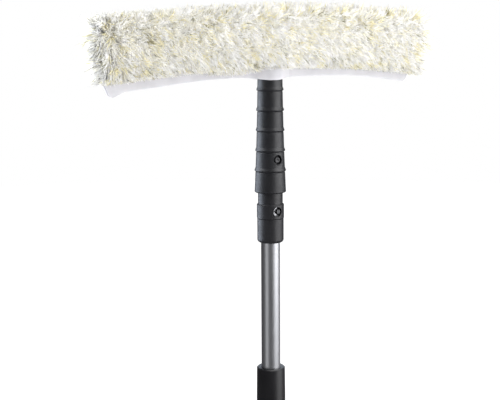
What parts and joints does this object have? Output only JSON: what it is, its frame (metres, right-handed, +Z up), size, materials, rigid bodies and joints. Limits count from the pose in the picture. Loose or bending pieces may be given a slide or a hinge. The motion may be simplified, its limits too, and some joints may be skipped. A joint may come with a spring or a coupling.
{
  "type": "window washing pole",
  "caption": "Telescopic aluminium pole with twist lock, snap-button adapter and ringed handle carrying an arched T-bar washer in a pile sleeve with white binding.",
  "frame": {"origin": "middle of the flat foot of the end cap, on the pole's axis", "axes": "+Z up the pole to the washer, +X along the washer, -Y is the front with the latch holes"},
  "size_m": [0.3776, 0.05, 1.02],
  "materials": {
    "anthracite_plastic": "satin moulded plastic",
    "lock_plastic": "fine matt texture",
    "inner_plastic": "plain moulded",
    "button_plastic": "satin",
    "grip_rubber": "matt soft rubber",
    "satin_aluminium": "satin anodised, drawn lengthways",
    "spring_steel": "bright rolled strip",
    "button_steel": "dark satin",
    "pile_fabric": "long cream and white fibre with pale yellow and grey tufts",
    "white_binding": "smooth white tape",
    "closure_fabric": "white hook-and-loop tape"
  },
  "bodies": {
    "lower_pole": {"end_cap": "anthracite_plastic", "lower_grip": "grip_rubber", "outer_tube": "satin_aluminium", "lock_body": "lock_plastic", "lock_collet": "inner_plastic"},
    "lock_nut": {"lock_nut": "lock_plastic"},
    "upper_pole": {"guide_bush": "inner_plastic", "inner_tube": "satin_aluminium", "tube_clip": "spring_steel", "adapter": "anthracite_plastic", "latch_clip": "spring_steel", "tbar_stem": "inner_plastic", "handle_grip": "anthracite_plastic", "stem_screws": "button_steel", "tbar_beam": "inner_plastic", "tbar_end_cap_left": "inner_plastic", "tbar_end_cap_right": "inner_plastic", "washer_sleeve": "pile_fabric", "binding_front": "white_binding", "binding_back": "white_binding", "hook_tape": "closure_fabric", "loop_tape": "closure_fabric"},
    "tube_button": {"tube_button": "button_steel"},
    "latch_button": {"latch_button": "button_plastic"}
  },
  "joints": [
    {"name": "pole_slide", "type": "slide", "parent": "lower_pole", "child": "upper_pole", "axis": [0, 0, 1], "range_m": [-0.127, 0.3]},
    {"name": "lock_nut_turn", "type": "hinge", "parent": "lower_pole", "child": "lock_nut", "pos_m": [0, 0, 0.637], "axis": [0, 0, 1], "range_deg": [0, 90]},
    {"name": "tube_button_press", "type": "slide", "parent": "upper_pole", "child": "tube_button", "axis": [-0.1219, 0.9925, 0], "range_m": [0, 0.003], "stiffness_N_per_m": 1500, "springref_m": -0.002, "deforming": ["tube_clip"]},
    {"name": "latch_button_press", "type": "slide", "parent": "upper_pole", "child": "latch_button", "axis": [0, 1, 0], "range_m": [0, 0.0048], "stiffness_N_per_m": 1500, "springref_m": -0.002, "deforming": ["latch_clip"]}
  ]
}
